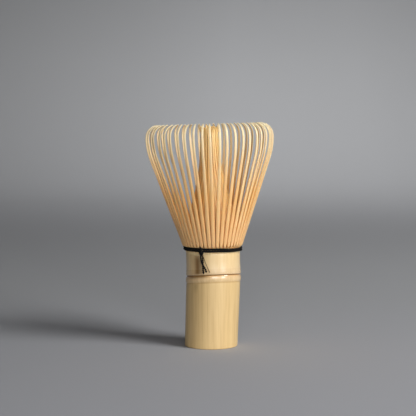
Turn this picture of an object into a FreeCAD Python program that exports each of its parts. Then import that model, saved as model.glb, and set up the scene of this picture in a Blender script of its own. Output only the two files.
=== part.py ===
import FreeCAD, Part
import math
import os
from FreeCAD import Vector

# A bamboo tea whisk, standing on the cut end of its handle.
# One length of bamboo culm makes the handle, its node and the collar; above the lacing thread
# the wall of the same culm is split into fine tines. Every second tine is bent outwards into
# the round outer crown, and the ones between them are drawn inwards into the inner cone.
# Frame: millimetres, +Z up, origin at the centre of the handle's cut end, -Y is the front.
# A culm is never quite straight: the handle leans a little to +X, and from the node up the whisk
# leans back to -X. Everything above the node is drawn upright and then set on the node.

# Handle, node and collar
HANDLE_BASE_R = 13.4        # outer radius at the cut end
HANDLE_WIDENS_TO = 28.0     # the handle widens from its cut end up to this height
COLLAR_R = 13.65            # outer radius from there to the thread, apart from the node
HANDLE_LEAN = 2.0           # degrees from upright, towards +X
UPPER_LEAN = -1.74          # degrees from upright of all that is above the node
BORE_R = 9.8                # hollow of the lower culm
BORE_DEPTH = 31.0
SEPTUM_TOP = 37.5           # upper face of the septum that closes the culm at its node
SEPTUM_BOTTOM = 33.0
SEPTUM_DISH = 0.8           # the middle of the septum's upper face is this much lower
FILLET = 2.0                # sloped corners where the septum meets the wall
UPPER_BORE_R = 10.8         # hollow above the septum, opening towards the tines
RING_BORE_R = 12.1
NODE_Z = 35.85              # height of the node line on the axis
NODE_TILT_FRONT = 6.5       # degrees that the node line rises towards the front
NODE_TILT_SIDE = 2.3        # degrees that it rises towards +X
NODE_RIDGE_R = 13.98
NODE_RIDGE_HEIGHT = 3.6
NODE_RIDGE_RISE = 0.93      # how far the ridge stands over the chord of its round section
NODE_RIDGE_DROP = 1.3       # the ridge lies this far below the node line
NODE_LINE_DEPTH = 0.35
NODE_LINE_WIDTH = 0.5
BUD_GROOVE_ANGLE = -37.0    # degrees from the front, positive towards +X
BUD_GROOVE_R = 3.2
BUD_GROOVE_DEPTH = 0.5
BUD_GROOVE_RUNOUT = 0.1     # the groove has left the surface by this much at its top

# Lacing thread
THREAD_D = 0.9
THREAD_Z = 49.65            # middle of the two turns
TURN_GAP = 0.02             # between the two turns
THREAD_SEAT_R = 13.9        # radius of the culm where the thread lies
THREAD_PLAY = 0.05          # free height of the seat beyond the two turns
KNOT_ANGLE = -22.2
KNOT_Z = 48.3
KNOT_SIZE = (1.25, 0.8, 0.9)   # half width, half depth, half height
KNOT_BITE = 0.15            # the knot presses this far into the turns
TAIL_D = 0.8

# Root ring and tines
COLLAR_TOP = 47.2           # the culm begins to open here
RING_TOP = 51.1             # the tines are free above this
RING_R = 15.1
ROOT_GAP = 0.1
TOTAL_HEIGHT = 112.0
TINES = 48                  # in the outer row, and again in the inner row
INNER_GROUPS = 6
FIRST_TINE_ANGLE = 1.0      # degrees from the front

CROWN_REACH = 40.0          # every tine lies within this radius

OUTER_ROOT_R = 15.15        # outer face of an outer tine at its root
OUTER_FLARE = 19.1          # degrees from upright
OUTER_BEND_R = 35.0         # bend that brings the tine upright
HOOK_R = 6.5
HOOK_TURN = 82.0
OUTER_WIDTH = (1.0, 0.85)   # at the root and at the tip
OUTER_DEPTH = (1.05, 0.45)
SPREAD = 0.35               # natural unevenness of the splay, degrees

INNER_ROOT_R = 13.2
INNER_SLANT = 15.5
INNER_LOWER_BEND_R = 58.0
INNER_STRAIGHT = 8.8
INNER_UPPER_BEND_R = 110.0
INNER_TIP_SLANT = 3.5
INNER_TOP = 110.6
INNER_WIDTH = (0.85, 0.6)
INNER_DEPTH = (0.55, 0.36)
LAYER_DELAY = (0.0, 4.6, 9.0)        # extra straight stretch that tucks a tine further in
LAYER_PATTERN = (0, 1, 0, 2, 0, 1)   # which layer each successive inner tine lies in

UP = Vector(0, 0, 1)
CENTRE = Vector(0, 0, 0)
SIDEWAYS = Vector(0, 1, 0)
NODE = Vector(NODE_Z * math.tan(math.radians(HANDLE_LEAN)), 0, NODE_Z)
WORK_SIZE = 100.0           # larger than the culm, for the blocks that trim it
ROOT_Z = RING_TOP + ROOT_GAP
PITCH = 360.0 / TINES


def azimuth(from_front):
    """Angle about +Z, from +X, of a direction given in degrees from the front."""
    return from_front - 90.0


def uneven(index, size):
    """A small fixed deviation for one tine, so that no two neighbours are quite alike."""
    return size * math.sin(2.4 * index)


def revolve(points):
    """Solid of revolution about Z of a closed outline of (radius, height) points."""
    corners = [Vector(r, 0, z) for r, z in points]
    outline = Part.makePolygon(corners + [corners[0]])
    return Part.Face(outline).revolve(CENTRE, UP, 360)


def set_on_node(shape):
    """Moves a shape that was drawn upright on the Z axis to its place above the leaning node."""
    shape.translate(Vector(NODE.x, 0, 0))
    shape.rotate(NODE, SIDEWAYS, UPPER_LEAN)
    return shape


def tilted(shape):
    """Turns a shape about the middle of the node line, to lie as the node does."""
    shape.rotate(NODE, Vector(1, 0, 0), -NODE_TILT_FRONT)
    shape.rotate(NODE, SIDEWAYS, -NODE_TILT_SIDE)
    return shape


def handle_blank():
    """The handle without its hollow, from its cut end to just over the node."""
    blank = revolve([(0, -HANDLE_BASE_R), (HANDLE_BASE_R, -HANDLE_BASE_R), (HANDLE_BASE_R, 0),
                     (COLLAR_R, HANDLE_WIDENS_TO), (COLLAR_R, COLLAR_TOP), (0, COLLAR_TOP)])
    blank.rotate(CENTRE, SIDEWAYS, HANDLE_LEAN)
    corner = Vector(-WORK_SIZE / 2, -WORK_SIZE / 2, 0)
    return blank.common(Part.makeBox(WORK_SIZE, WORK_SIZE, WORK_SIZE, corner))


def collar_blank():
    """The collar and the ring of the tines' roots without their hollow, from just below the node."""
    seat_half = THREAD_D + THREAD_PLAY
    return set_on_node(revolve([
        (0, BORE_DEPTH), (COLLAR_R, BORE_DEPTH), (COLLAR_R, COLLAR_TOP),
        (THREAD_SEAT_R, THREAD_Z - seat_half), (THREAD_SEAT_R, THREAD_Z + seat_half),
        (RING_R, RING_TOP - THREAD_PLAY), (RING_R, RING_TOP), (0, RING_TOP),
    ]))


def above_node():
    """A block whose lower face is the plane of the node line."""
    corner = Vector(NODE.x - WORK_SIZE / 2, -WORK_SIZE / 2, NODE_Z)
    return tilted(Part.makeBox(WORK_SIZE, WORK_SIZE, WORK_SIZE, corner))


def node_ridge():
    """The swelling of the culm just below its node line, as a ring round in section."""
    section_r = (NODE_RIDGE_HEIGHT ** 2 / 4 + NODE_RIDGE_RISE ** 2) / (2 * NODE_RIDGE_RISE)
    middle = NODE - UP * NODE_RIDGE_DROP
    return tilted(Part.makeTorus(NODE_RIDGE_R - section_r, section_r, middle))


def node_line():
    """The fine sunk line round the culm, to be cut from it."""
    mouth_r = COLLAR_R + 2 * NODE_LINE_DEPTH
    half = 1.5 * NODE_LINE_WIDTH
    line = revolve([(COLLAR_R - NODE_LINE_DEPTH, 0), (mouth_r, -half), (mouth_r, half)])
    line.translate(NODE)
    return tilted(line)


def bud_groove():
    """The shallow upright groove over the bud, to be cut from the collar, narrower towards its top."""
    angle = math.radians(azimuth(BUD_GROOVE_ANGLE))
    reach = COLLAR_R + BUD_GROOVE_R - BUD_GROOVE_DEPTH
    foot = Vector(reach * math.cos(angle), reach * math.sin(angle), NODE_Z)
    top_r = BUD_GROOVE_R - BUD_GROOVE_DEPTH - BUD_GROOVE_RUNOUT
    return set_on_node(Part.makeCone(BUD_GROOVE_R, top_r, COLLAR_TOP - NODE_Z, foot, UP))


def handle_hollow():
    """The open bore of the handle, up to the septum."""
    return revolve([(0, -1), (BORE_R, -1), (BORE_R, BORE_DEPTH), (BORE_R - FILLET, SEPTUM_BOTTOM),
                    (0, SEPTUM_BOTTOM)])


def collar_hollow():
    """The hollow from the septum up through the ring of the tines' roots."""
    return set_on_node(revolve([
        (0, SEPTUM_TOP - SEPTUM_DISH), (UPPER_BORE_R - FILLET, SEPTUM_TOP),
        (UPPER_BORE_R, SEPTUM_TOP + FILLET), (RING_BORE_R, COLLAR_TOP),
        (RING_BORE_R, RING_TOP + 1), (0, RING_TOP + 1),
    ]))


def culm():
    above = above_node()
    solid = handle_blank().cut(above).fuse(collar_blank().common(above)).fuse(node_ridge())
    for hollow in (node_line(), bud_groove(), handle_hollow(), collar_hollow()):
        solid = solid.cut(hollow)
    return solid.removeSplitter()


def lacing_thread():
    """The two turns that hold the outer row apart from the inner row."""
    seat = THREAD_SEAT_R + THREAD_D / 2
    turns = []
    for side in (-1, 1):
        height = THREAD_Z + side * (THREAD_D + TURN_GAP) / 2
        turns.append(Part.makeTorus(seat, THREAD_D / 2, Vector(0, 0, height)))
    return Part.makeCompound(turns)


def thread_knot():
    """The closed shape of the small overhand knot, lying on the lower turn."""
    ball = Part.makeSphere(1.0)
    shape = FreeCAD.Matrix()
    shape.scale(Vector(*KNOT_SIZE))
    knot = ball.transformGeometry(shape)
    knot.translate(Vector(0, KNOT_BITE - THREAD_SEAT_R - THREAD_D - KNOT_SIZE[1], KNOT_Z))
    knot.rotate(CENTRE, UP, KNOT_ANGLE)
    return knot


def rounded_route(points):
    """A wire of straight runs joined by tangent arcs, each as large as its two runs allow."""
    corners = [Vector(*p) for p in points]
    edges, last = [], corners[0]
    for before, corner, after in zip(corners, corners[1:], corners[2:]):
        back = before.sub(corner)
        ahead = after.sub(corner)
        turn = math.pi - back.getAngle(ahead)
        cut = 0.45 * min(back.Length, ahead.Length)
        radius = cut / math.tan(turn / 2)
        back.normalize()
        ahead.normalize()
        middle = back.add(ahead)
        middle.normalize()
        start = corner.add(back * cut)
        end = corner.add(ahead * cut)
        crest = corner.add(middle * (radius / math.cos(turn / 2) - radius))
        edges.append(Part.LineSegment(last, start).toShape())
        edges.append(Part.Arc(start, crest, end).toShape())
        print(f"thread end: bend radius {radius:.2f} mm")
        last = end
    edges.append(Part.LineSegment(last, corners[-1]).toShape())
    return Part.Wire(edges)


def thread_end(points, diameter):
    """A free end of the lacing thread, as a plain tube along its route."""
    route = rounded_route(points)
    start = route.Edges[0]
    along = start.tangentAt(start.FirstParameter)
    section = Part.Wire(Part.makeCircle(diameter / 2, Vector(*points[0]), along))
    tube = route.makePipeShell([section], True, True)
    swept = math.pi * diameter ** 2 / 4 * route.Length
    print(f"thread end: length {route.Length:.2f} mm, volume {tube.Volume:.3f} of {swept:.3f} mm3")
    return tube


# The two free ends hang from the knot down the front of the collar. Their points are drawn
# before both are turned round the collar by this angle, with the knot.
ENDS_TURN = -3.7
LONG_END = [(-5.2, -14.9, 47.7), (-5.2, -14.75, 45.5), (-4.5, -14.5, 42.9),
            (-3.1, -14.4, 40.7), (-2.6, -14.5, 38.9)]
STRAIGHT_END = [(-4.3, -14.45, 47.7), (-4.2, -13.9, 44.8), (-4.45, -13.45, 41.2), (-4.1, -13.5, 38.0)]


def strip_outline(start, moves, depth):
    """Side view of one tine in the X-Z plane, closed between its outer and its inner face.

    The outer face starts at (radius, height, slant from upright, positive outwards) and follows
    the moves: a plain number is a straight stretch, and (radius, turn) is an arc that turns
    towards the axis, or away from it where the turn is negative. depth is the distance between
    the faces at the root and at the tip.
    """
    r, z, slant = start[0], start[1], math.radians(start[2])
    stations, run = [(r, z, slant, 0.0)], 0.0
    for move in moves:
        for _ in range(2):
            if isinstance(move, tuple):
                bend, turn = move[0], math.radians(move[1]) / 2
                side = math.copysign(bend, turn)
                r += side * (math.cos(slant - turn) - math.cos(slant))
                z += side * (math.sin(slant) - math.sin(slant - turn))
                slant -= turn
                run += bend * abs(turn)
            else:
                r += move / 2 * math.sin(slant)
                z += move / 2 * math.cos(slant)
                run += move / 2
            stations.append((r, z, slant, run))
    root_depth, tip_depth = depth
    outer, inner = [], []
    for r, z, slant, at in stations:
        thick = root_depth + (tip_depth - root_depth) * at / run
        outer.append(Vector(r, 0, z))
        inner.append(Vector(r - thick * math.cos(slant), 0, z + thick * math.sin(slant)))
    edges = [Part.LineSegment(inner[0], outer[0])]
    for face in (outer, inner):
        for number, move in enumerate(moves):
            ends = face[2 * number:2 * number + 3]
            edges.append(Part.Arc(*ends) if isinstance(move, tuple) else Part.LineSegment(ends[0], ends[2]))
    edges.append(Part.LineSegment(inner[-1], outer[-1]))
    return Part.Face(Part.Wire(Part.__sortEdges__([edge.toShape() for edge in edges])))


def tine(outline, width, top):
    """One tine: its side view cut out of a strip that narrows from the root to the top."""
    root_half, tip_half = width[0] / 2, width[1] / 2
    flat = outline.copy()
    flat.translate(Vector(0, -root_half, 0))
    blank = flat.extrude(Vector(0, 2 * root_half, 0))
    corners = [Vector(0, -root_half, ROOT_Z - 1), Vector(0, root_half, ROOT_Z - 1),
               Vector(0, tip_half, top + 1), Vector(0, -tip_half, top + 1)]
    front = Part.Face(Part.makePolygon(corners + [corners[0]]))
    return blank.common(front.extrude(Vector(CROWN_REACH, 0, 0))).Solids[0]


def outer_tine(number):
    """An outer tine, which flares straight out, bends upright and hooks inwards at its tip."""
    flare, hook = math.radians(OUTER_FLARE), math.radians(HOOK_TURN)
    bends = OUTER_BEND_R * math.sin(flare) + HOOK_R * math.sin(hook)
    straight = (TOTAL_HEIGHT - ROOT_Z - bends) / math.cos(flare)
    moves = [straight, (OUTER_BEND_R, OUTER_FLARE), (HOOK_R, HOOK_TURN)]
    shape = tine(strip_outline((OUTER_ROOT_R, ROOT_Z, OUTER_FLARE), moves, OUTER_DEPTH),
                 OUTER_WIDTH, TOTAL_HEIGHT)
    root = Vector(OUTER_ROOT_R - OUTER_DEPTH[0] / 2, 0, ROOT_Z)
    shape.rotate(root, SIDEWAYS, uneven(number, SPREAD))
    shape.rotate(CENTRE, UP, azimuth(FIRST_TINE_ANGLE + PITCH * number))
    return shape


def inner_tine(number):
    """An inner tine, which leans in to the cone and turns nearly upright in its own layer."""
    delay = LAYER_DELAY[LAYER_PATTERN[number % len(LAYER_PATTERN)]]
    top = INNER_TOP + uneven(number, SPREAD)
    slant, tip_slant = math.radians(INNER_SLANT), math.radians(INNER_TIP_SLANT)
    climb = (INNER_LOWER_BEND_R * math.sin(slant) + (INNER_STRAIGHT + delay) * math.cos(slant)
             + INNER_UPPER_BEND_R * (math.sin(slant) - math.sin(tip_slant)))
    moves = [(INNER_LOWER_BEND_R, INNER_SLANT), INNER_STRAIGHT + delay,
             (INNER_UPPER_BEND_R, INNER_TIP_SLANT - INNER_SLANT),
             (top - ROOT_Z - climb) / math.cos(tip_slant)]
    shape = tine(strip_outline((INNER_ROOT_R, ROOT_Z, 0.0), moves, INNER_DEPTH), INNER_WIDTH, top)
    shape.rotate(CENTRE, UP, azimuth(FIRST_TINE_ANGLE + PITCH * (number + 0.5)))
    return shape


def inner_group(group):
    """One sector of the inner cone, whose tines spread together."""
    size = TINES // INNER_GROUPS
    return Part.makeCompound([inner_tine(number) for number in range(group * size, (group + 1) * size)])


def build():
    upper = {"lacing_thread": lacing_thread(), "thread_knot": thread_knot()}
    for name, points in (("thread_long_end", LONG_END), ("thread_straight_end", STRAIGHT_END)):
        upper[name] = thread_end(points, TAIL_D)
        upper[name].rotate(CENTRE, UP, ENDS_TURN)
    for number in range(TINES):
        upper[f"outer_tine_{number + 1:02d}"] = outer_tine(number)
    for group in range(INNER_GROUPS):
        upper[f"inner_tines_{group + 1}"] = inner_group(group)
    nodes = {"culm_handle": culm()}
    for name, shape in upper.items():
        nodes[name] = set_on_node(shape)
    return nodes


os.makedirs("parts", exist_ok=True)
for name, shape in build().items():
    shape.exportStep(f"parts/{name}.step")
    bounds = shape.BoundBox
    print(f"{name}: {len(shape.Solids)} solids, {shape.Volume:.2f} mm3, valid {shape.isValid()}, "
          f"z {bounds.ZMin:.2f} to {bounds.ZMax:.2f}")
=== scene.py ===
"""A bamboo tea whisk, standing on the cut end of its handle.

One length of bamboo culm makes the handle, its node and the collar. Above the lacing thread the
wall of the same culm is split into ninety-six tines: every second one is bent outwards into the
round crown, and the ones between them are drawn inwards into the inner cone.
Sizes are in millimetres unless a name says otherwise, with +Z up and -Y at the front.
"""

import logging
import math
import random
from collections.abc import Sequence
from dataclasses import dataclass, field
from enum import Enum

import bmesh
import bpy
from mathutils import Matrix, Vector
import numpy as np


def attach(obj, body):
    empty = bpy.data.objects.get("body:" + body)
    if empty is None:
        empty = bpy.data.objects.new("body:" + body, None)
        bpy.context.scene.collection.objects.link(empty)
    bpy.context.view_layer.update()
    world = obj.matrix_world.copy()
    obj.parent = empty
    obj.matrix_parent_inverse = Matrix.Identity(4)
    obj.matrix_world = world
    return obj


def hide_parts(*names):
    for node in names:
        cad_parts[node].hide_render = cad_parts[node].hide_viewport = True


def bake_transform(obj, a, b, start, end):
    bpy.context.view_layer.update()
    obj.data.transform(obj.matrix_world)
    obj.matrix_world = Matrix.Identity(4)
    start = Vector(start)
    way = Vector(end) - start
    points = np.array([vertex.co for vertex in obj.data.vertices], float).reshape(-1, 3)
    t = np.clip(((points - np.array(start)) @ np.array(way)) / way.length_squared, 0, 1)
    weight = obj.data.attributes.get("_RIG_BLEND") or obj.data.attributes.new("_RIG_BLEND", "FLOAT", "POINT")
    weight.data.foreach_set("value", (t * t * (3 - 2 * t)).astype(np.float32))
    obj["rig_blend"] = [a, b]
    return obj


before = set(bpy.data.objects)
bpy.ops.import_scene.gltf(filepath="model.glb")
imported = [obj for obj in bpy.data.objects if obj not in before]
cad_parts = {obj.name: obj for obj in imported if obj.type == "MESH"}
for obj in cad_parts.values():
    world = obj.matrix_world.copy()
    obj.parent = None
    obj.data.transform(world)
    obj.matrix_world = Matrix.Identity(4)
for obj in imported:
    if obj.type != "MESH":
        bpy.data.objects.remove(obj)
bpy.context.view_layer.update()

LOG = logging.getLogger("whisk")
MM = 0.001
BODY = "culm"

NODE_HEIGHT = 35.85
HANDLE_LEAN = math.radians(2.0)
UPPER_LEAN = math.radians(-1.74)
NODE_SHIFT = NODE_HEIGHT * math.tan(HANDLE_LEAN)

TINES = 48
PITCH = math.radians(360 / TINES)
FIRST_TINE = math.radians(1.0)
ROOT_HEIGHT = 51.2
# radius of the middle of the wall where the tines are split from it
WALL_MIDDLE = 14.6

TINT = {"data_type": "RGBA"}
MULTIPLY = {"data_type": "RGBA", "blend_type": "MULTIPLY"}

Point = tuple[float, float]
Route = Sequence[Sequence[float]]
Shape = bmesh.types.BMesh
Material = bpy.types.Material
Socket = bpy.types.NodeSocket


class Slot(Enum):
    """Names of the finishes in the part's record."""

    SKIN = "bamboo_skin"
    OUTER = "outer_tine_bamboo"
    INNER = "inner_tine_bamboo"
    THREAD = "lacing_thread"


def colour(code: str) -> tuple[float, float, float, float]:
    """Linear colour of an sRGB hex value."""
    channels = [int(code[at:at + 2], 16) / 255 for at in (0, 2, 4)]
    linear = [c / 12.92 if c <= 0.04045 else ((c + 0.055) / 1.055) ** 2.4 for c in channels]
    return (*linear, 1.0)


def feed(node: bpy.types.Node, inputs: dict[int | str, object]) -> None:
    """Sets a node's inputs.

    Args:
        node: the node.
        inputs: the value of each input, or the output socket that feeds it.
    """
    for key, value in inputs.items():
        if isinstance(value, Socket):
            node.id_data.links.new(value, node.inputs[key])
        else:
            node.inputs[key].default_value = value


def add_node(
    tree: bpy.types.NodeTree,
    kind: str,
    inputs: dict[int | str, object] | None = None,
    stops: Sequence[tuple[float, str]] = (),
    **settings: object,
) -> bpy.types.Node:
    """Adds one shader node with its settings and its links.

    Args:
        tree: the material's node tree.
        kind: the node's type, without the leading "ShaderNode".
        inputs: the value of each input, or the output socket that feeds it.
        stops: positions and hex colours of a colour ramp.
        **settings: the node's own properties.

    Returns:
        The new node.
    """
    node = tree.nodes.new("ShaderNode" + kind)
    for name, value in settings.items():
        setattr(node, name, value)
    feed(node, inputs or {})
    if stops:
        elements = node.color_ramp.elements
        while len(elements) < len(stops):
            elements.new(1.0)
        for element, (position, code) in zip(elements, stops):
            element.position = position
            element.color = colour(code)
    return node


def smooth_step(low: float, high: float, value: float) -> float:
    """Rises smoothly from 0 at low to 1 at high."""
    part = min(max((value - low) / (high - low), 0.0), 1.0)
    return part * part * (3 - 2 * part)


def uneven(index: int, size: float) -> float:
    """The part's own small deviation of one tine's splay."""
    return size * math.sin(2.4 * index)


def on_node() -> Matrix:
    """Placement of what was drawn upright on the Z axis and stands on the leaning node."""
    pivot = Vector((NODE_SHIFT, 0, NODE_HEIGHT))
    turned = Matrix.Rotation(UPPER_LEAN, 4, "Y") @ Matrix.Translation(Vector((NODE_SHIFT, 0, 0)) - pivot)
    return Matrix.Translation(pivot) @ turned


def in_frame(point: Sequence[float]) -> Vector:
    """A point drawn upright, in metres at its place above the node."""
    return (on_node() @ Vector(point)) * MM


def sweep(
    shape: Shape, outline: Sequence[Point], stations: Sequence[Matrix]
) -> list[list[bmesh.types.BMVert]]:
    """Extrudes a closed outline from station to station into a capped bar.

    Args:
        shape: the mesh that the bar is added to.
        outline: the corners of the section, in each station's own X and Y.
        stations: placement of the section at each step along the bar.

    Returns:
        The corners at each station, in the outline's order.
    """
    ring = [shape.verts.new(stations[0] @ Vector((*corner, 0))) for corner in outline]
    face = shape.faces.new(ring)
    rings = [ring]
    for before, after in zip(stations, stations[1:]):
        made = bmesh.ops.extrude_face_region(shape, geom=[face])["geom"]
        face = next(item for item in made if isinstance(item, bmesh.types.BMFace))
        ring = list(face.verts)
        bmesh.ops.transform(shape, matrix=after @ before.inverted(), verts=ring)
        rings.append(ring)
    return rings


def sweep_loop(shape: Shape, outline: Sequence[Point], stations: Sequence[Matrix]) -> None:
    """Extrudes a closed outline round a closed row of stations and bridges the last gap.

    Args:
        shape: the mesh that the loop is added to.
        outline: the corners of the section, in each station's own X and Y.
        stations: placement of the section at each step, the first one not repeated.
    """
    ring = [shape.verts.new(stations[0] @ Vector((*corner, 0))) for corner in outline]
    first = [shape.edges.new((a, b)) for a, b in zip(ring, ring[1:] + ring[:1])]
    edges = first
    for before, after in zip(stations, stations[1:]):
        made = bmesh.ops.extrude_edge_only(shape, edges=edges)["geom"]
        edges = [item for item in made if isinstance(item, bmesh.types.BMEdge)]
        ring = [item for item in made if isinstance(item, bmesh.types.BMVert)]
        bmesh.ops.transform(shape, matrix=after @ before.inverted(), verts=ring)
    bmesh.ops.bridge_loops(shape, edges=first + edges)


def station(origin: Vector, across: Vector, outwards: Vector, size: Point = (1, 1)) -> Matrix:
    """Placement of a section.

    Args:
        origin: the section's own origin.
        across: unit direction of its X.
        outwards: unit direction of its Y.
        size: its scale in X and Y.

    Returns:
        The matrix that takes the section there.
    """
    along = across.cross(outwards)
    columns = (across * size[0], outwards * size[1], along, origin)
    return Matrix([[*row] for row in zip(*columns)] + [[0, 0, 0, 1]])


def regular(corners: int, radius: float = 1.0) -> list[Point]:
    """Corners of a regular outline of that radius."""
    turns = [2 * math.pi * number / corners for number in range(corners)]
    return [(radius * math.cos(turn), radius * math.sin(turn)) for turn in turns]


def make_piece(
    name: str,
    shape: Shape,
    finishes: Sequence[Material],
    sharp_above: float = 35.0,
) -> bpy.types.Object:
    """Turns a mesh drawn in millimetres into a finished piece.

    Args:
        name: the piece's name.
        shape: the mesh, which is used up.
        finishes: its materials, in the order of its faces' material numbers.
        sharp_above: edges that turn by more than this many degrees stay crisp.

    Returns:
        The piece, with its place in its mesh.
    """
    bmesh.ops.recalc_face_normals(shape, faces=shape.faces)
    bmesh.ops.scale(shape, vec=(MM, MM, MM), verts=shape.verts)
    mesh = bpy.data.meshes.new(name)
    shape.to_mesh(mesh)
    shape.free()
    mesh.shade_smooth()
    mesh.set_sharp_from_angle(angle=math.radians(sharp_above))
    for finish in finishes:
        mesh.materials.append(finish)
    piece = bpy.data.objects.new(name, mesh)
    bpy.context.collection.objects.link(piece)
    LOG.info("%s: %d faces", name, len(mesh.polygons))
    return piece


def fix(piece: bpy.types.Object, node: str = "") -> None:
    """Fixes a piece to the culm.

    Args:
        piece: the piece.
        node: the node of the part that it stands for, if it stands for one.
    """
    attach(piece, BODY)
    if node:
        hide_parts(node)


def spin(shape: Shape, outline: Sequence[Point], steps: int, merge: float) -> None:
    """Turns a section all the way round the Z axis.

    Args:
        shape: the mesh that the turned wall is added to.
        outline: radius and height of the section's corners.
        steps: how many facets the wall gets.
        merge: corners nearer to each other than this become one.
    """
    corners = [shape.verts.new((radius, 0, height)) for radius, height in outline]
    edges = [shape.edges.new(pair) for pair in zip(corners, corners[1:])]
    bmesh.ops.spin(shape, geom=corners + edges, cent=(0, 0, 0), axis=(0, 0, 1), angle=2 * math.pi,
                   steps=steps, use_merge=True, use_duplicate=False)
    bmesh.ops.remove_doubles(shape, verts=shape.verts, dist=merge)


@dataclass(frozen=True)
class Finish:
    """What every finish has: a name and the way to start its node tree."""

    name: str = "finish"
    roughness: float = 0.5
    ior: float = 1.5

    def start(self) -> tuple[Material, bpy.types.NodeTree, bpy.types.Node]:
        """Makes the material with its shader and output."""
        material = bpy.data.materials.new(self.name)
        material.use_nodes = True
        tree = material.node_tree
        tree.nodes.clear()
        shader = add_node(tree, "BsdfPrincipled", {"Roughness": self.roughness, "IOR": self.ior})
        add_node(tree, "OutputMaterial", {"Surface": shader.outputs["BSDF"]})
        return material, tree, shader


@dataclass(frozen=True)
class PolishedSkin(Finish):
    """The outer skin of a seasoned bamboo culm, rubbed to a soft gloss.

    The eye gets a smooth straw-coloured wall with fine upright fibres and a darker line at the node.
    Under that line, on the left, is a warm stain that also paints the shadow of the thread ends.
    Below it is a swelling painted lighter where it faces the light, and there is painted shade in the
    grey-brown hollow over the bud.
    """

    name: str = "polished_bamboo_skin"
    roughness: float = 0.42
    fibre_width: float = 0.45
    fibre_length: float = 30.0
    streak_width: float = 2.6
    streak_length: float = 70.0
    fibre_relief: float = 0.02
    streak_strength: float = 0.4
    fibre_strength: float = 0.4
    fibre_bump: float = 0.6
    # colour of the painted shade in the hollow over the bud and of the painted shadow under the node line,
    # and also of the real stain below the bud
    bud_shade_and_stain: str = "8A673A"
    tones_from: float = 30.0
    tones_to: float = 50.0
    coat: float = 0.4
    coat_roughness: float = 0.22

    def material(self) -> Material:
        """Builds the node tree.

        Returns:
            The material.
        """
        material, tree, shader = self.start()
        place = add_node(tree, "TexCoord").outputs["Object"]
        patterns = []
        for width, length in (
            (self.fibre_width, self.fibre_length), (self.streak_width, self.streak_length),
        ):
            scale = (1 / (width * MM), 1 / (width * MM), 1 / (length * MM))
            spread = add_node(tree, "Mapping", {"Vector": place, "Scale": scale})
            patterns.append(add_node(tree, "TexNoise", {
                "Vector": spread.outputs[0], "Scale": 1.0, "Detail": 3.0, "Roughness": 0.6,
            }).outputs["Fac"])
        rise = add_node(tree, "Attribute", attribute_name="rise").outputs["Fac"]
        groove = add_node(tree, "Attribute", attribute_name="groove").outputs["Fac"]
        part = add_node(tree, "MapRange", {"Value": rise, 1: self.tones_from, 2: self.tones_to}).outputs[0]
        # colours up the node: a darker ring under the swelling, then the swelling painted lighter where it
        # faces the light above (painted light), a warm band into the dark node line, and the collar
        toned = add_node(tree, "ValToRGB", {"Fac": part}, stops=(
            (0.0, "DEBF88"), (0.08, "DEBF88"), (0.105, "CDAA72"), (0.135, "E6C898"), (0.25, "E6C496"),
            (0.275, "D4A870"), (0.287, "7A5430"), (0.296, "7A5430"), (0.306, "E2C49A"), (0.5, "EACE9E"),
            (1.0, "E9CB96"),
        )).outputs["Color"]
        for pattern, strength, stops in (
            (patterns[1], self.streak_strength, ((0.3, "D9C9AE"), (0.5, "F6F1E6"), (0.72, "FFFFFF"))),
            (patterns[0], self.fibre_strength, ((0.3, "E3D6C0"), (0.52, "FFFFFF"))),
        ):
            lines = add_node(tree, "ValToRGB", {"Fac": pattern}, stops=stops).outputs["Color"]
            toned = add_node(tree, "Mix", {0: strength, 6: toned, 7: lines}, **MULTIPLY).outputs[2]
        # darkens the skin by the groove mask: painted shade in the hollow over the bud, a stain with painted
        # shadow under the node line, and the stain below the bud
        stained_and_shaded = add_node(tree, "Mix", {0: groove, 6: toned, 7: colour(self.bud_shade_and_stain)}, **TINT).outputs[2]
        gloss = add_node(tree, "ValToRGB", {"Fac": part}, stops=(
            (0.0, "C4C4C4"), (0.1, "BCBCBC"), (0.14, "7C7C7C"), (0.3, "808080"), (0.5, "949494"),
            (0.9, "B4B4B4"),
        )).outputs["Color"]
        rough = add_node(tree, "SeparateColor", {0: gloss}).outputs[0]
        bump = add_node(tree, "Bump", {"Height": patterns[0], "Distance": self.fibre_relief * MM,
                                       "Strength": self.fibre_bump}).outputs[0]
        feed(shader, {"Base Color": stained_and_shaded, "Roughness": rough, "Normal": bump, "Coat Weight": self.coat,
                      "Coat Roughness": self.coat_roughness})
        return material


@dataclass(frozen=True)
class CutEndGrain(Finish):
    """Sawn and sanded bamboo end grain.

    The eye gets pale wood peppered with the dark ends of its fibre bundles.
    """

    name: str = "sanded_bamboo_end_grain"
    roughness: float = 0.62
    bundle_spacing: float = 0.55
    bundle_relief: float = 0.05

    def material(self) -> Material:
        """Builds the node tree.

        Returns:
            The material.
        """
        material, tree, shader = self.start()
        place = add_node(tree, "TexCoord").outputs["Object"]
        cells = add_node(tree, "TexVoronoi", {
            "Vector": place, "Scale": 1 / (self.bundle_spacing * MM),
        }).outputs["Distance"]
        grain = add_node(tree, "ValToRGB", {"Fac": cells}, stops=(
            (0.12, "8E6A3F"), (0.34, "D3B07A"), (0.8, "E2C795"),
        )).outputs["Color"]
        bump = add_node(tree, "Bump", {"Height": cells, "Distance": self.bundle_relief * MM,
                                       "Strength": 0.5}).outputs[0]
        feed(shader, {"Base Color": grain, "Normal": bump})
        return material


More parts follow.
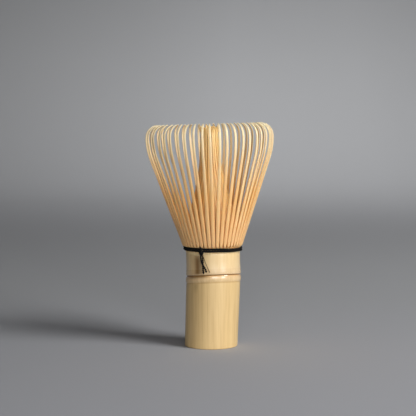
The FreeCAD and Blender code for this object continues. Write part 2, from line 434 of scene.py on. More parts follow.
@dataclass(frozen=True)
class PithLining(Finish):
    """The raw inner wall of a bamboo culm, with its papery lining.

    The eye gets a dull cream wall with faint upright marks and soft blotches.
    """

    name: str = "raw_bamboo_pith"
    roughness: float = 0.8
    mark_width: float = 0.8
    mark_length: float = 14.0
    mark_relief: float = 0.08

    def material(self) -> Material:
        """Builds the node tree.

        Returns:
            The material.
        """
        material, tree, shader = self.start()
        place = add_node(tree, "TexCoord").outputs["Object"]
        scale = (1 / (self.mark_width * MM), 1 / (self.mark_width * MM), 1 / (self.mark_length * MM))
        spread = add_node(tree, "Mapping", {"Vector": place, "Scale": scale}).outputs[0]
        marks = add_node(tree, "TexNoise", {"Vector": spread, "Scale": 1.0, "Detail": 4.0}).outputs["Fac"]
        tint = add_node(tree, "ValToRGB", {"Fac": marks}, stops=(
            (0.3, "C09A63"), (0.55, "DDBF8C"), (0.75, "E9D3A9"),
        )).outputs["Color"]
        bump = add_node(tree, "Bump", {"Height": marks, "Distance": self.mark_relief * MM,
                                       "Strength": 0.6}).outputs[0]
        feed(shader, {"Base Color": tint, "Normal": bump})
        return material


@dataclass(frozen=True)
class SplitTine(Finish):
    """Bamboo split and shaved into tines, skin side outwards.

    The eye gets a satin straw-coloured skin face with fibres along each tine, a browner inner
    face where the soft wood was shaved away, paler tips, and no two tines of quite one tone. Towards the
    roots, where the strips crowd together, painted shade gives a darker, warmer colour.
    The strips are thin, so a little light comes through them.
    """

    name: str = "split_bamboo_tine"
    roughness: float = 0.4
    skin: str = "FDD194"
    dark_skin: str = "F6BF79"
    shaved: str = "F9BF74"
    tip: str = "FFEBC2"
    # painted shade: a darker, warmer colour towards the roots, where the strips crowd together
    root: str = "F4C287"
    foot: str = "EBCF9C"
    fibre_width: float = 0.16
    fibre_length: float = 9.0
    fibre_relief: float = 0.03
    fibre_strength: float = 0.5
    glow: float = 0.35
    glow_depth: float = 0.7
    glow_spread: tuple[float, float, float] = (1.0, 0.8, 0.6)

    def material(self) -> Material:
        """Builds the node tree.

        Returns:
            The material.
        """
        material, tree, shader = self.start()
        fibre = add_node(tree, "Attribute", attribute_name="fibre").outputs["Vector"]
        tone, along, depth = (
            add_node(tree, "Attribute", attribute_name=name).outputs["Fac"]
            for name in ("tone", "along", "depth")
        )
        scale = (1 / self.fibre_width, 1 / self.fibre_width, 1 / self.fibre_length)
        spread = add_node(tree, "Mapping", {"Vector": fibre, "Scale": scale}).outputs[0]
        grain = add_node(tree, "TexNoise", {"Vector": spread, "Scale": 1.0, "Detail": 3.0,
                                            "Roughness": 0.6}).outputs["Fac"]
        skin = add_node(tree, "Mix", {0: tone, 6: colour(self.skin), 7: colour(self.dark_skin)},
                        **TINT).outputs[2]
        # blends the painted root shade into the skin colour, fading out up the tine
        root_shade_share = add_node(tree, "MapRange", {"Value": along, 1: 0.08, 2: 0.42}).outputs[0]
        low = add_node(tree, "ValToRGB", {"Fac": along}, stops=(
            (0.018, self.foot), (0.045, self.root),
        )).outputs["Color"]
        skin = add_node(tree, "Mix", {0: root_shade_share, 6: low, 7: skin}, **TINT).outputs[2]
        reach = add_node(tree, "MapRange", {"Value": along, 1: 0.45, 2: 1.0}).outputs[0]
        paler = add_node(tree, "Mix", {0: reach, 6: skin, 7: colour(self.tip)}, **TINT).outputs[2]
        inner = add_node(tree, "Mix", {0: reach, 6: colour(self.shaved), 7: colour(self.tip)},
                         **TINT).outputs[2]
        under = add_node(tree, "MapRange", {"Value": depth, 1: 0.1, 2: 0.7, 4: 0.85}).outputs[0]
        body = add_node(tree, "Mix", {0: under, 6: paler, 7: inner}, **TINT).outputs[2]
        lines = add_node(tree, "ValToRGB", {"Fac": grain}, stops=(
            (0.32, "D6BE94"), (0.56, "FFFFFF"),
        )).outputs["Color"]
        final = add_node(tree, "Mix", {0: self.fibre_strength, 6: body, 7: lines}, **MULTIPLY).outputs[2]
        bump = add_node(tree, "Bump", {"Height": grain, "Distance": self.fibre_relief * MM,
                                       "Strength": 0.7}).outputs[0]
        feed(shader, {"Base Color": final, "Normal": bump, "Subsurface Weight": self.glow,
                      "Subsurface Radius": self.glow_spread, "Subsurface Scale": self.glow_depth * MM})
        return material


@dataclass(frozen=True)
class BlackCotton(Finish):
    """Dyed cotton thread, twisted from plies.

    The eye gets a matt black cord with a faint fuzz. Real cotton fibres are about 0.02 mm thick, too
    fine to show, so the fuzz is drawn coarser.
    """

    name: str = "black_cotton_thread"
    roughness: float = 0.82
    dye: str = "060605"
    worn: str = "12110D"
    fibre_width: float = 0.07
    fibre_relief: float = 0.05
    fuzz: float = 0.04
    fuzz_roughness: float = 0.4
    shine: float = 0.18

    def material(self) -> Material:
        """Builds the node tree.

        Returns:
            The material.
        """
        material, tree, shader = self.start()
        place = add_node(tree, "TexCoord").outputs["Object"]
        fuzz = add_node(tree, "TexNoise", {"Vector": place, "Scale": 1 / (self.fibre_width * MM),
                                           "Detail": 2.0}).outputs["Fac"]
        tint = add_node(tree, "ValToRGB", {"Fac": fuzz}, stops=(
            (0.4, self.dye), (0.72, self.worn),
        )).outputs["Color"]
        bump = add_node(tree, "Bump", {"Height": fuzz, "Distance": self.fibre_relief * MM,
                                       "Strength": 0.8}).outputs[0]
        feed(shader, {"Base Color": tint, "Normal": bump, "Sheen Weight": self.fuzz,
                      "Sheen Roughness": self.fuzz_roughness, "Specular IOR Level": self.shine})
        return material


@dataclass
class Culm:
    """The handle, its node and the collar: one length of bamboo, open below its septum."""

    base_radius: float = 13.4
    collar_radius: float = 13.65
    widens_to: float = 28.0
    bore_radius: float = 9.8
    bore_depth: float = 31.0
    septum_bottom: float = 33.0
    upper_bore_radius: float = 10.8
    ring_bore_radius: float = 12.1
    collar_top: float = 47.2
    core_top: float = 50.5
    node_slope_front: float = math.tan(math.radians(6.5))
    node_slope_side: float = math.tan(math.radians(2.3))
    groove_angle: float = math.radians(-37.5)
    groove_half_width: float = 2.5
    groove_depth: float = 0.6
    facets: int = 192

    def skin(self) -> list[Point]:
        """Radius and height of the outer surface, from the cut end's edge to the collar's top."""
        points = [(self.base_radius - 0.34, 0.03), (self.base_radius - 0.13, 0.14),
                  (self.base_radius - 0.02, 0.34), (self.base_radius, 0.6)]
        for height in (2, 4, 7, 10, 13, 16, 19, 22, 25, 27):
            widened = self.base_radius + (self.collar_radius - self.base_radius) * height / self.widens_to
            points.append((widened, float(height)))
        # how far the skin stands out from the collar's radius, and at what height
        relief = (
            (0.0, 28.5), (0.0, 30.0), (0.0, 31.0), (0.0, 31.6), (-0.04, 31.95),
            (0.03, 32.3), (0.17, 32.7), (0.28, 33.1), (0.33, 33.5),
            (0.32, 33.9), (0.28, 34.3), (0.22, 34.7), (0.14, 35.1),
            (0.05, 35.4), (-0.06, 35.6), (-0.2, 35.74), (-0.27, 35.84),
            (-0.2, 35.94),
            (0.0, 36.04), (0.12, 36.18), (0.18, 36.4), (0.19, 36.8),
            (0.17, 37.3), (0.13, 38.0), (0.08, 39.0), (0.03, 40.2),
            (-0.02, 41.6), (-0.03, 43.0), (-0.02, 44.2), (0.0, 45.2), (0.0, 46.0),
            (0.0, 46.7), (0.0, 47.3), (-0.03, 47.65), (-0.12, 47.95),
            (-0.3, 48.25), (-0.6, 48.6), (-0.85, 49.3), (-0.85, self.core_top),
        )
        return points + [(self.collar_radius + out, height) for out, height in relief]

    def outline(self) -> list[Point]:
        """The whole wall in section, from the septum's lower face round to its upper face."""
        handle_hollow = [(0.0, self.septum_bottom), (4.0, self.septum_bottom),
                         (self.bore_radius - 2.0, self.septum_bottom), (9.1, 32.3), (9.55, 31.7),
                         (self.bore_radius, self.bore_depth), (self.bore_radius, 24.0),
                         (self.bore_radius, 16.0), (self.bore_radius, 8.0), (self.bore_radius, 0.3),
                         (self.bore_radius + 0.08, 0.08), (self.bore_radius + 0.25, 0.0)]
        cut_end = [(11.2, 0.0), (12.3, 0.0), (self.base_radius - 0.6, 0.0)]
        collar_hollow = [(self.ring_bore_radius + 0.1, self.core_top), (self.ring_bore_radius, 50.2),
                         (self.ring_bore_radius, self.collar_top), (11.5, 43.5),
                         (self.upper_bore_radius, 39.5), (10.4, 38.4), (9.6, 37.75), (8.6, 37.45),
                         (6.0, 37.1), (3.0, 36.85), (0.0, 36.7)]
        return handle_hollow + cut_end + self.skin() + collar_hollow

    @staticmethod
    def line_stain_and_shadow(rise: float, turn: float) -> float:
        """How strongly the skin is darkened at one place: under the node line on the left, a stain with
        painted shadow and shade, and below the bud, a stain.

        Args:
            rise: height up the culm, with the node taken as level.
            turn: place round the culm, in degrees from the front.

        Returns:
            The stain, from 0 to 1.
        """
        across = math.exp(-((rise - 35.3) / 0.75) ** 2)
        below = smooth_step(26.5, 30.5, rise) * (1 - smooth_step(31.4, 32.2, rise))
        scar = 0.3 * below * math.exp(-((turn + 40.0) / 6.5) ** 2)
        # on the front left just under the node line: partly a stain, partly painted shadow cast by the
        # thread ends and painted shade on the side turned from the light
        line = 0.85 * across * smooth_step(-80, -45, turn) * (1 - smooth_step(-22, -6, turn))
        return max(line, scar)

    def settle(self, point: Vector) -> Vector:
        """Leans and tilts one point of the upright wall as the grown culm does.

        Args:
            point: a point of the wall, drawn upright on the Z axis.

        Returns:
            The point at its place.
        """
        radius, rise = math.hypot(point.x, point.y), point.z
        if rise <= self.septum_bottom and radius <= self.bore_radius + 0.01:
            return point
        if rise > NODE_HEIGHT and radius < self.ring_bore_radius + 0.2:
            return on_node() @ point
        near = smooth_step(24.0, 33.0, rise) * (1 - smooth_step(38.0, 46.0, rise))
        above = smooth_step(NODE_HEIGHT, 44.0, rise)
        slope = near * self.node_slope_side + (1 - near) * above * -math.sin(UPPER_LEAN)
        lift = slope * point.x - near * self.node_slope_front * point.y
        if rise <= NODE_HEIGHT:
            shift = rise * math.tan(HANDLE_LEAN)
        else:
            shift = NODE_SHIFT + (rise - NODE_HEIGHT) * math.sin(UPPER_LEAN)
        return point + Vector((shift, 0, lift))

    def build(self, finishes: Sequence[Material]) -> None:
        """Spins the wall, settles it on its lean and presses the groove over the bud.

        Args:
            finishes: the materials of the skin, the cut end and the lining.
        """
        shape = bmesh.new()
        rise_layer = shape.verts.layers.float.new("rise")
        shade_and_stain_layer = shape.verts.layers.float.new("groove")
        spin(shape, self.outline(), self.facets, 0.001)
        for face in shape.faces:
            middle = face.calc_center_median()
            radius = math.hypot(middle.x, middle.y)
            if middle.z < 0.02:
                face.material_index = 1
            elif radius < self.ring_bore_radius + 0.35:
                face.material_index = 2
        for vert in shape.verts:
            radius, rise = math.hypot(vert.co.x, vert.co.y), vert.co.z
            vert[rise_layer] = rise
            if radius > self.base_radius - 1.0 and radius > 1e-6:
                turn = math.atan2(vert.co.x, -vert.co.y)
                aside = (turn - self.groove_angle) * radius / self.groove_half_width
                upright = smooth_step(36.0, 37.0, rise) * (1 - smooth_step(44.5, 48.5, rise) * 0.6)
                hollow = math.exp(-aside * aside) * upright
                # the stored mask paints shade into the hollow over the bud, and adds the stain and painted
                # shadow under the node line
                vert[shade_and_stain_layer] = max(hollow, self.line_stain_and_shadow(rise, math.degrees(turn)))
                oval = 0.04 * math.sin(2 * turn + 0.8) + 0.03 * math.sin(3 * turn)
                wave = 0.02 * math.sin(5 * turn + 0.11 * rise)
                round_off = (oval + wave) * smooth_step(0, 4, rise)
                scale = (radius - self.groove_depth * hollow + round_off) / radius
                vert.co.x *= scale
                vert.co.y *= scale
            vert.co = self.settle(vert.co)
        fix(make_piece("bamboo_culm", shape, finishes, 40.0), "culm_handle")


@dataclass
class Tine:
    """What both rows share: a chamfered strip whose outer face follows a line in the radial plane."""

    section: Sequence[Point] = (
        (-0.32, 0.0), (0.32, 0.0), (0.5, -0.2), (0.5, -1.0), (-0.5, -1.0), (-0.5, -0.2),
    )
    tip_taper: float = 0.9
    height: float = 112.0
    widths: Point = (1.8, 1.0)
    depths: Point = (1.05, 0.45)
    foot_width: float = 0.9
    taper_from: float = 62.0
    blend_from: float = -1.0
    blend_to: float = 27.0

    @staticmethod
    def follow(start: Point, slant: float, moves: Sequence[float | Point], step: float) -> list[Point]:
        """Walks the outer face from its root, along straight runs and bends.

        Args:
            start: radius and height of the root.
            slant: its direction there, in radians from upright, positive outwards.
            moves: a plain number is a straight run, and (radius, degrees) a bend towards the axis,
                or away from it where the degrees are negative.
            step: the longest step along the line.

        Returns:
            Radius and height of each step.
        """
        radius, height = start
        points = [start]
        for move in moves:
            bend, turn = (move[0], math.radians(move[1])) if isinstance(move, tuple) else (0.0, 0.0)
            length = bend * abs(turn) if bend else move
            count = max(3 if bend else 1, math.ceil(length / step))
            for _ in range(count):
                slant -= turn / count / 2
                radius += length / count * math.sin(slant)
                height += length / count * math.cos(slant)
                slant -= turn / count / 2
                points.append((radius, height))
        return points

    def sizes(self, line: Sequence[Point]) -> tuple[list[float], list[float]]:
        """Width and depth at each step: slim where both rows lie side by side, then tapering upwards.

        Args:
            line: radius and height of the outer face at each step.

        Returns:
            The widths and the depths.
        """
        widths, depths = [], []
        for _, height in line:
            share = min(max((height - ROOT_HEIGHT) / (self.height - ROOT_HEIGHT), 0.0), 1.0)
            slim = min(max((height - self.taper_from) / (self.height - self.taper_from), 0.0), 1.0)
            full = self.widths[0] + (self.widths[1] - self.widths[0]) * slim
            freed = smooth_step(50.3, 53.0, height)
            widths.append(self.foot_width + (full - self.foot_width) * freed)
            depths.append(self.depths[0] + (self.depths[1] - self.depths[0]) * share)
        return widths, depths

    def lay(
        self,
        shape: Shape,
        line: Sequence[Point],
        angle: float,
        lean: float,
        sway: float,
        tone: float,
    ) -> None:
        """Sweeps one strip and gives its corners the facts that its finish reads.

        Args:
            shape: the mesh that the strip is added to.
            line: radius and height of the outer face at each step.
            angle: the strip's place round the axis, from the front.
            lean: extra splay about the root, in radians.
            sway: how far the tip stands aside of the radial plane, in millimetres.
            tone: how dark the strip is, from 0 to 1.
        """
        vectors, floats = shape.verts.layers.float_vector, shape.verts.layers.float
        fibre_layer = vectors.get("fibre") or vectors.new("fibre")
        tone_layer = floats.get("tone") or floats.new("tone")
        along_layer = floats.get("along") or floats.new("along")
        depth_layer = floats.get("depth") or floats.new("depth")
        widths, depths = self.sizes(line)
        runs = [0.0]
        for (r0, z0), (r1, z1) in zip(line, line[1:]):
            runs.append(runs[-1] + math.hypot(r1 - r0, z1 - z0))
        around = on_node() @ Matrix.Rotation(angle, 4, "Z")
        stations = []
        for index, (radius, height) in enumerate(line):
            before, after = line[max(index - 1, 0)], line[min(index + 1, len(line) - 1)]
            slant = math.atan2(after[0] - before[0], after[1] - before[1])
            free = 1.0
            if index < len(line) - 4:
                free = smooth_step(ROOT_HEIGHT - 1.0, ROOT_HEIGHT + 8.0, height)
            splay = lean * free
            spread_r = radius + splay * (height - ROOT_HEIGHT)
            spread_z = height - splay * (radius - WALL_MIDDLE)
            slant += splay
            aside = sway * (runs[index] / runs[-1]) ** 2
            origin = Vector((aside, -spread_r, spread_z))
            outwards = Vector((0, -math.cos(slant), -math.sin(slant)))
            left = min((runs[-1] - runs[index]) / self.tip_taper, 1.0)
            size = (widths[index] * (0.7 + 0.3 * left), depths[index] * (0.6 + 0.4 * left))
            stations.append(around @ station(origin, Vector((1, 0, 0)), outwards, size))
        rings = sweep(shape, self.section, stations)
        for index, ring in enumerate(rings):
            for vert, (across, depth) in zip(ring, self.section):
                vert[fibre_layer] = Vector((across * widths[index] + 37.0 * angle, depth * depths[index],
                                            runs[index] + 210.0 * tone))
                vert[tone_layer] = tone
                vert[along_layer] = runs[index] / runs[-1]
                vert[depth_layer] = -depth

    def hang(self, piece: bpy.types.Object, slot: Slot, body: str, middle: Vector) -> None:
        """Lets a piece bend from the collar to its own body, whose node it stands for.

        Args:
            piece: the piece.
            slot: the finish of the record that it takes; not used.
            body: the moving body at its free end.
            middle: the middle of its root, on the level of the origin.
        """
        start, end = (in_frame(middle + Vector((0, 0, ROOT_HEIGHT + rise)))
                      for rise in (self.blend_from, self.blend_to))
        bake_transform(piece, BODY, body, start, end)
        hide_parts(body)


@dataclass
class OuterRow(Tine):
    """The crown: strips that flare straight out, bend upright and hook inwards at their tips."""

    root_radius: float = 15.15
    flare: float = 19.1
    bend_radius: float = 35.0
    hook_radius: float = 6.5
    hook_turn: float = 82.0
    spread: float = math.radians(0.35)
    foot: Sequence[Point] = (
        (13.2, 46.7), (13.5, 47.2), (13.62, 47.6), (13.67, 48.0), (13.74, 48.5), (13.8, 49.0),
        (13.85, 49.6), (13.9, 50.15), (14.05, 50.5), (14.42, 50.8), (14.9, 51.05),
    )
    row_slope: float = -0.04
    draw: random.Random = field(default_factory=lambda: random.Random(48))

    def line(self, hook: float, angle: float) -> list[Point]:
        """The outer face from its foot in the collar to its tip.

        Args:
            hook: how far this tine's tip turns in, in degrees.
            angle: the strip's place round the axis, from the front.

        Returns:
            Radius and height of each step.
        """
        flare = math.radians(self.flare)
        bends = (self.bend_radius * math.sin(flare)
                 + self.hook_radius * math.sin(math.radians(min(hook, 90.0))))
        straight = (self.height - ROOT_HEIGHT - bends) / math.cos(flare)
        moves = [straight, (self.bend_radius, self.flare), (self.hook_radius, hook)]
        start = (self.root_radius + 0.1, ROOT_HEIGHT + 0.3)
        lift = self.row_slope * self.root_radius * math.sin(angle)
        foot = []
        for radius, height in self.foot:
            share = smooth_step(49.5, 50.2, height) * min(max((51.5 - height) / 1.3, 0.0), 1.0)
            foot.append((radius, height + lift * share))
        return foot + self.follow(start, flare, moves, 2.4)

    @staticmethod
    def back_sway(angle: float) -> float:
        """How far the tips of the back of the crown have drifted round, in millimetres.

        Args:
            angle: the strip's place round the axis, from the front.

        Returns:
            The drift of its tip.
        """
        past_back = (math.degrees(angle) - 180.0 + 180.0) % 360.0 - 180.0
        fade = 1 - smooth_step(48.0, 95.0, abs(past_back))
        return (0.95 + 0.045 * past_back) * fade

    def build(self, finish: Material) -> None:
        """Makes every strip a piece of its own, bending from the collar to its own body.

        Args:
            finish: the strips' material.
        """
        for number in range(TINES):
            angle = FIRST_TINE + PITCH * number
            line = self.line(self.hook_turn + self.draw.uniform(-7, 7), angle)
            shape = bmesh.new()
            self.lay(shape, line, angle, uneven(number, self.spread),
                     self.draw.uniform(-0.45, 0.45) + self.back_sway(angle), self.draw.random() ** 1.5)
            piece = make_piece(f"outer_strip_{number + 1:02d}", shape, [finish])
            away = Vector((math.sin(angle), -math.cos(angle), 0))
            self.hang(piece, Slot.OUTER, f"outer_tine_{number + 1:02d}", away * WALL_MIDDLE)


@dataclass
class InnerRow(Tine):
    """The inner cone: strips drawn inwards, lying in three layers near the top."""

    root_radius: float = 13.6
    slant: float = 15.5
    lower_bend_radius: float = 58.0
    straight: float = 10.3
    upper_bend_radius: float = 110.0
    tip_slant: float = 3.5
    tip_bend_radius: float = 5.0
    tip_turn: float = 40.0
    height: float = 110.6
    widths: Point = (1.36, 0.84)
    depths: Point = (0.6, 0.45)
    foot_width: float = 0.84
    layer_delay: Sequence[float] = (0.0, 4.6, 9.0)
    layer_pattern: Sequence[int] = (0, 1, 0, 2, 0, 1)
    groups: int = 6
    foot: Sequence[Point] = (
        (13.15, 46.7), (13.45, 47.2), (13.6, 47.65), (13.63, 48.1), (13.6, 48.7), (13.56, 49.5),
        (13.55, 50.4),
    )
    blend_from: float = -0.5
    blend_to: float = 24.0
    draw: random.Random = field(default_factory=lambda: random.Random(12))

    def line(self, number: int) -> list[Point]:
        """The outer face of one strip from its foot in the collar to its tip.

        Args:
            number: the strip's place in the row.

        Returns:
            Radius and height of each step.
        """
        delay = self.layer_delay[self.layer_pattern[number % len(self.layer_pattern)]]
        top = self.height + uneven(number, 0.35) + self.draw.uniform(-0.5, 0.5)
        slant, tip_slant = math.radians(self.slant), math.radians(self.tip_slant)
        flare = math.radians(self.tip_turn - self.tip_slant)
        climb = (self.lower_bend_radius * math.sin(slant) + (self.straight + delay) * math.cos(slant)
                 + self.upper_bend_radius * (math.sin(slant) - math.sin(tip_slant))
                 + self.tip_bend_radius * (math.sin(tip_slant) + math.sin(flare)))
        moves = [(self.lower_bend_radius, self.slant), self.straight + delay,
                 (self.upper_bend_radius, self.tip_slant - self.slant),
                 (top - ROOT_HEIGHT - climb) / math.cos(tip_slant),
                 (self.tip_bend_radius, -self.tip_turn)]
        return list(self.foot) + self.follow((self.root_radius, ROOT_HEIGHT), 0.0, moves, 2.6)

    def build(self, finish: Material) -> None:
        """Makes each sector of the cone one piece, bending from the collar to its own body.

        Args:
            finish: the strips' material.
        """
        size = TINES // self.groups
        for group in range(self.groups):
            shape = bmesh.new()
            for number in range(group * size, (group + 1) * size):
                angle = FIRST_TINE + PITCH * (number + 0.5)
                line = self.line(number)
                self.lay(shape, line, angle, 0.0, self.draw.uniform(-0.25, 0.25), self.draw.random())
            piece = make_piece(f"inner_strips_{group + 1}", shape, [finish])
            self.hang(piece, Slot.INNER, f"inner_tines_{group + 1}", Vector())


@dataclass
class Lacing:
    """The black thread: two twisted rows round the collar, the knot and its free ends."""

    row_radius: float = 14.33
    row_heights: Point = (49.15, 50.12)
    row_slope: float = -0.04
    plies: int = 3
    ply_radius: float = 0.3
    ply_offset: float = 0.26
    twists: int = 39
    steps_per_twist: int = 8
    ends_turn: float = math.radians(-3.7)
    knot_angle: float = math.radians(-22.2)
    knot_radius: float = 15.4
    knot_height: float = 48.3
    knot_steps: int = 60
    knot_ply_radius: float = 0.4
    cord_plies: int = 2
    # of each cord: radius of a ply, its distance from the middle, length of one twist
    over_cord: Sequence[float] = (0.33, 0.26, 2.4)
    end_cord: Sequence[float] = (0.26, 0.2, 2.0)
    loose_cord: Sequence[float] = (0.13, 0.06, 1.4)
    frayed_end: float = 1.25
    sharp_above: float = 80.0
    over: Route = (
        (-5.1, -13.4, 51.2), (-5.1, -14.5, 51.35), (-5.0, -15.05, 50.2), (-4.9, -15.1, 49.2),
        (-4.9, -14.95, 48.2),
    )
    long_end: Route = (
        (-5.2, -14.9, 47.7), (-5.2, -14.75, 45.5), (-4.5, -14.5, 42.9), (-3.1, -14.4, 40.7),
        (-2.6, -14.5, 38.9),
    )
    straight_end: Route = (
        (-4.3, -14.45, 47.7), (-4.2, -13.9, 44.8), (-4.45, -13.45, 41.2), (-4.1, -13.5, 38.0),
    )
    loose_ply: Route = (
        (-4.6, -15.1, 48.0), (-3.7, -14.75, 46.6), (-3.0, -14.45, 43.6), (-1.9, -14.15, 40.9),
        (-0.9, -14.1, 38.6),
    )

    def row(self, shape: Shape, height: float, phase: float) -> None:
        """Adds one turn of the twisted thread round the collar.

        Args:
            shape: the mesh that it is added to.
            height: height of the turn's middle.
            phase: where its twist starts, in radians.
        """
        count = self.twists * self.steps_per_twist
        for ply in range(self.plies):
            stations = []
            for step in range(count):
                turn = 2 * math.pi * step / count
                twist = self.twists * turn + phase + 2 * math.pi * ply / self.plies
                dip = 0.05 * math.cos(TINES * (turn - FIRST_TINE))
                wander = 0.07 * math.sin(3 * turn + phase) + 0.05 * math.sin(7 * turn)
                radius = self.row_radius + dip + self.ply_offset * math.cos(twist)
                away = Vector((math.sin(turn), -math.cos(turn), 0))
                level = height + wander + self.row_slope * radius * away.x
                origin = away * radius + Vector((0, 0, level + self.ply_offset * math.sin(twist)))
                stations.append(on_node() @ station(origin, away, Vector((0, 0, 1))))
            sweep_loop(shape, regular(7, self.ply_radius), stations)

    @staticmethod
    def ease(points: Route, steps: int) -> list[Vector]:
        """Rounds a route through the middles of its runs.

        Args:
            points: the route's control points.
            steps: how many steps each corner gets.

        Returns:
            Points along the smooth route.
        """
        knots = [Vector(point) for point in points]
        starts = [knots[0]] + [(a + b) / 2 for a, b in zip(knots[1:], knots[2:-1])] + [knots[-1]]
        eased = [starts[0]]
        for start, corner, end in zip(starts, knots[1:-1], starts[1:]):
            for step in range(1, steps + 1):
                part = step / steps
                eased.append(start * (1 - part) ** 2 + corner * 2 * part * (1 - part) + end * part ** 2)
        return eased

    def cord(
        self,
        shape: Shape,
        route: Sequence[Vector],
        ply_radius: float,
        offset: float,
        pitch: float,
        flare: float = 1.0,
    ) -> None:
        """Adds a twisted cord along a route.

        Args:
            shape: the mesh that it is added to.
            route: points along its middle.
            ply_radius: radius of each ply.
            offset: distance of the plies from the middle.
            pitch: length of one twist.
            flare: how much wider the cord's far end is.
        """
        place = on_node() @ Matrix.Rotation(self.ends_turn, 4, "Z")
        for ply in range(self.cord_plies):
            stations, run = [], 0.0
            total = sum((b - a).length for a, b in zip(route, route[1:]))
            for index, middle in enumerate(route):
                before, after = route[max(index - 1, 0)], route[min(index + 1, len(route) - 1)]
                along = (after - before).normalized()
                aside = along.cross(Vector((0, 1, 0))).normalized()
                away = along.cross(aside).normalized()
                run += (middle - before).length
                twist = 2 * math.pi * (run / pitch + ply / self.cord_plies)
                wider = 1 + (flare - 1) * smooth_step(0.75, 1.0, run / total)
                origin = middle + (aside * math.cos(twist) + away * math.sin(twist)) * offset * wider
                thick = min(1.0, 0.35 + (total - run) / 0.5) * wider
                stations.append(place @ station(origin, away, aside, (thick, thick)))
            sweep(shape, regular(7, ply_radius), stations)

    def knot(self, shape: Shape) -> None:
        """Adds the overhand knot and the turn that comes down over both rows into it.

        Args:
            shape: the mesh that it is added to.
        """
        place = on_node() @ Matrix.Rotation(self.knot_angle, 4, "Z")
        centre = Vector((0, -self.knot_radius, self.knot_height))
        route = []
        for step in range(self.knot_steps):
            turn = 2 * math.pi * step / self.knot_steps
            route.append(centre + Vector((
                0.33 * (math.sin(turn) + 2 * math.sin(2 * turn)),
                -0.36 * math.sin(3 * turn),
                0.25 * (math.cos(turn) - 2 * math.cos(2 * turn)),
            )))
        stations = []
        for index, middle in enumerate(route):
            along = (route[(index + 1) % self.knot_steps] - route[index - 1]).normalized()
            aside = along.cross(Vector((0.0, 1.0, 0.35))).normalized()
            stations.append(place @ station(middle, aside, aside.cross(along) * -1))
        sweep_loop(shape, regular(8, self.knot_ply_radius), stations)

    def build(self, finish: Material) -> None:
        """Makes the rows, the knot and the two ends.

        Args:
            finish: the thread's material.
        """
        shape = bmesh.new()
        for height, phase in zip(self.row_heights, (0.0, 1.3)):
            self.row(shape, height, phase)
        self.tie("lacing_rows", shape, finish, "lacing_thread")
        shape = bmesh.new()
        self.knot(shape)
        self.cord(shape, self.ease(self.over, 6), *self.over_cord)
        self.tie("overhand_knot", shape, finish, "thread_knot")
        for name, route in (("long_end", self.long_end), ("straight_end", self.straight_end)):
            shape = bmesh.new()
            self.cord(shape, self.ease(route, 14), *self.end_cord, self.frayed_end)
            self.tie(name, shape, finish, f"thread_{name}")

    def build_loose_ply(self, finish: Material) -> None:
        """Makes the fine ply that has come loose beside the two ends.

        Args:
            finish: its material.
        """
        shape = bmesh.new()
        self.cord(shape, self.ease(self.loose_ply, 12), *self.loose_cord)
        self.tie("loose_ply", shape, finish)

    def tie(
        self, name: str, shape: Shape, finish: Material, node: str = ""
    ) -> None:
        """Makes a piece of thread and fixes it to the culm.

        Args:
            name: the piece's name.
            shape: its mesh.
            finish: its material.
            node: the node of the part that it stands for, if it stands for one.
        """
        fix(make_piece(name, shape, [finish], self.sharp_above), node)


@dataclass(frozen=True)
class SoftLight:
    """A square soft light, hung at a turn from the front, a level distance and a rise from its aim."""

    name: str
    turn: float
    distance: float
    rise: float
    side: float
    watts: float
    aim: Sequence[float] = (0, 0, 0.06)
    spread: float = math.pi

    def hang(self) -> None:
        """Hangs the light at its place."""
        lamp = bpy.data.lights.new(self.name, "AREA")
        lamp.size = self.side
        lamp.energy = self.watts
        lamp.spread = self.spread
        away = Vector((math.sin(self.turn) * self.distance, -math.cos(self.turn) * self.distance, self.rise))
        holder = bpy.data.objects.new(self.name, lamp)
        holder.location = Vector(self.aim) + away
        holder.rotation_mode = "QUATERNION"
        holder.rotation_quaternion = (-away).to_track_quat("-Z", "Y")
        bpy.context.collection.objects.link(holder)


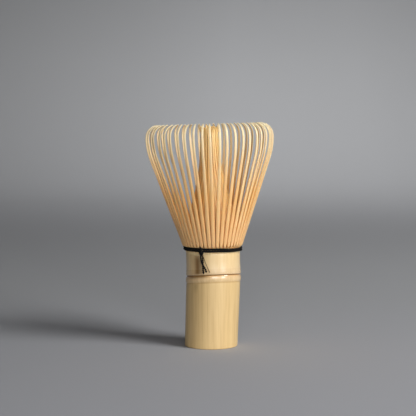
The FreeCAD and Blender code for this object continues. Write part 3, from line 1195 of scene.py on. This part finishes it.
@dataclass
class Studio:
    """A sweep of grey paper all round, a key, a low and a front light, a wash on the wall, the camera.

    Its sizes are in metres.
    """

    floor_radius: float = 1.9
    sweep_radius: float = 0.7
    sweep_steps: int = 12
    wall_height: float = 2.6
    lights: Sequence[SoftLight] = (
        SoftLight("key", math.radians(56), 1.6 * math.cos(math.radians(36)),
                  1.6 * math.sin(math.radians(36)), 0.56, 17.5),
        SoftLight("low_soft", math.radians(40), 1.6, 0.192, 0.4, 9.0),
        SoftLight("front_soft", math.radians(5), 1.6, 0.16, 0.8, 15.0),
        SoftLight("wall_wash", math.atan2(0.4, 0.85), math.hypot(0.4, 0.85), 1.1, 0.5, 1.0,
                  (0, 1.6, 0.1), math.radians(80)),
    )
    world_grey: float = 0.04
    camera_place: Sequence[float] = (-0.0016, -0.635, 0.112)
    camera_pitch: float = math.radians(3.8)
    lens: float = 109.2
    sensor: float = 36.0

    def paper(self) -> Material:
        """Builds matt grey paper with painted light and shade: lighter towards the back, and painted shade a
        little darker at the left and up.

        Returns:
            The material.
        """
        material = bpy.data.materials.new("grey_paper_painted_falloff")
        material.use_nodes = True
        tree = material.node_tree
        shader = tree.nodes["Principled BSDF"]
        place = add_node(tree, "TexCoord").outputs["Object"]
        axes = add_node(tree, "SeparateXYZ", {0: place}).outputs
        paper = None
        # painted light falloff: lighter towards the back, and painted shade at the left and higher up the
        # wall
        for axis, near, far, stops in (
            ("Y", -0.3, 1.7, ((0.0, "A8A9AE"), (0.15, "AEAFB3"), (0.24, "B2B3B5"), (0.33, "B8B9BB"),
                              (0.6, "C4C5C8"), (1.0, "DEDFE1"))),
            ("X", -0.45, 0.45, ((0.0, "D8D8D8"), (0.35, "EFEFEF"), (0.55, "FFFFFF"), (0.8, "FFFFFF"),
                                (1.0, "F6F6F6"))),
            ("Z", 0.02, 0.36, ((0.0, "FFFFFF"), (1.0, "D4D4D4"))),
        ):
            part = add_node(tree, "MapRange", {"Value": axes[axis], 1: near, 2: far}).outputs[0]
            tint = add_node(tree, "ValToRGB", {"Fac": part}, stops=stops).outputs["Color"]
            if paper:
                tint = add_node(tree, "Mix", {0: 1.0, 6: paper, 7: tint}, **MULTIPLY).outputs[2]
            paper = tint
        feed(shader, {"Base Color": paper, "Roughness": 0.9})
        return material

    def build(self) -> None:
        """Spins the paper sweep and sets the lights and the camera."""
        self.hang_paper()
        self.hang_lights()
        self.set_camera()

    def hang_paper(self) -> None:
        """Spins the floor, the curved sweep and the wall as one sheet."""
        shape = bmesh.new()
        flat = self.floor_radius - self.sweep_radius
        outline = [(0.0, 0.0), (0.2, 0.0), (0.6, 0.0), (flat, 0.0)]
        for step in range(1, self.sweep_steps + 1):
            turn = math.pi / 2 * step / self.sweep_steps
            outline.append((self.floor_radius - self.sweep_radius * (1 - math.sin(turn)),
                            self.sweep_radius * (1 - math.cos(turn))))
        outline.append((self.floor_radius, self.wall_height))
        spin(shape, outline, 96, 0.0001)
        bmesh.ops.recalc_face_normals(shape, faces=shape.faces)
        mesh = bpy.data.meshes.new("paper_sweep")
        shape.to_mesh(mesh)
        shape.free()
        mesh.shade_smooth()
        mesh.materials.append(self.paper())
        paper = bpy.data.objects.new("paper_sweep", mesh)
        bpy.context.collection.objects.link(paper)

    def hang_lights(self) -> None:
        """Hangs the lights round the whisk and over the wall, and dims the room."""
        for light in self.lights:
            light.hang()
        world = bpy.data.worlds.new("studio")
        bpy.context.scene.world = world
        world.use_nodes = True
        feed(world.node_tree.nodes["Background"], {"Color": colour("FFFFFF"), "Strength": self.world_grey})
        bpy.context.scene.view_settings.view_transform = "Standard"

    def set_camera(self) -> None:
        """Sets the camera in front of the whisk, looking a little down."""
        camera = bpy.data.objects.new("camera", bpy.data.cameras.new("camera"))
        camera.data.lens = self.lens
        camera.data.sensor_width = self.sensor
        camera.data.clip_start = 0.01
        camera.location = self.camera_place
        camera.rotation_euler = (math.pi / 2 - self.camera_pitch, 0, 0)
        bpy.context.collection.objects.link(camera)
        bpy.context.scene.camera = camera


def main() -> None:
    """Builds the studio and the whisk, in order."""
    logging.basicConfig(level=logging.INFO, format="%(name)s: %(message)s")
    Studio().build()
    Culm().build([PolishedSkin().material(), CutEndGrain().material(), PithLining().material()])
    OuterRow().build(SplitTine().material())
    shaved = SplitTine(name="shaved_inner_tine", skin="FFCE88", dark_skin="FBBB6C", shaved="F4B162",
                       tip="FFD692")
    InnerRow().build(shaved.material())
    lacing = Lacing()
    lacing.build(BlackCotton().material())
    lacing.build_loose_ply(BlackCotton(name="faded_cotton_ply", dye="4A3B28", worn="77624A").material())


if __name__ == "__main__":
    main()
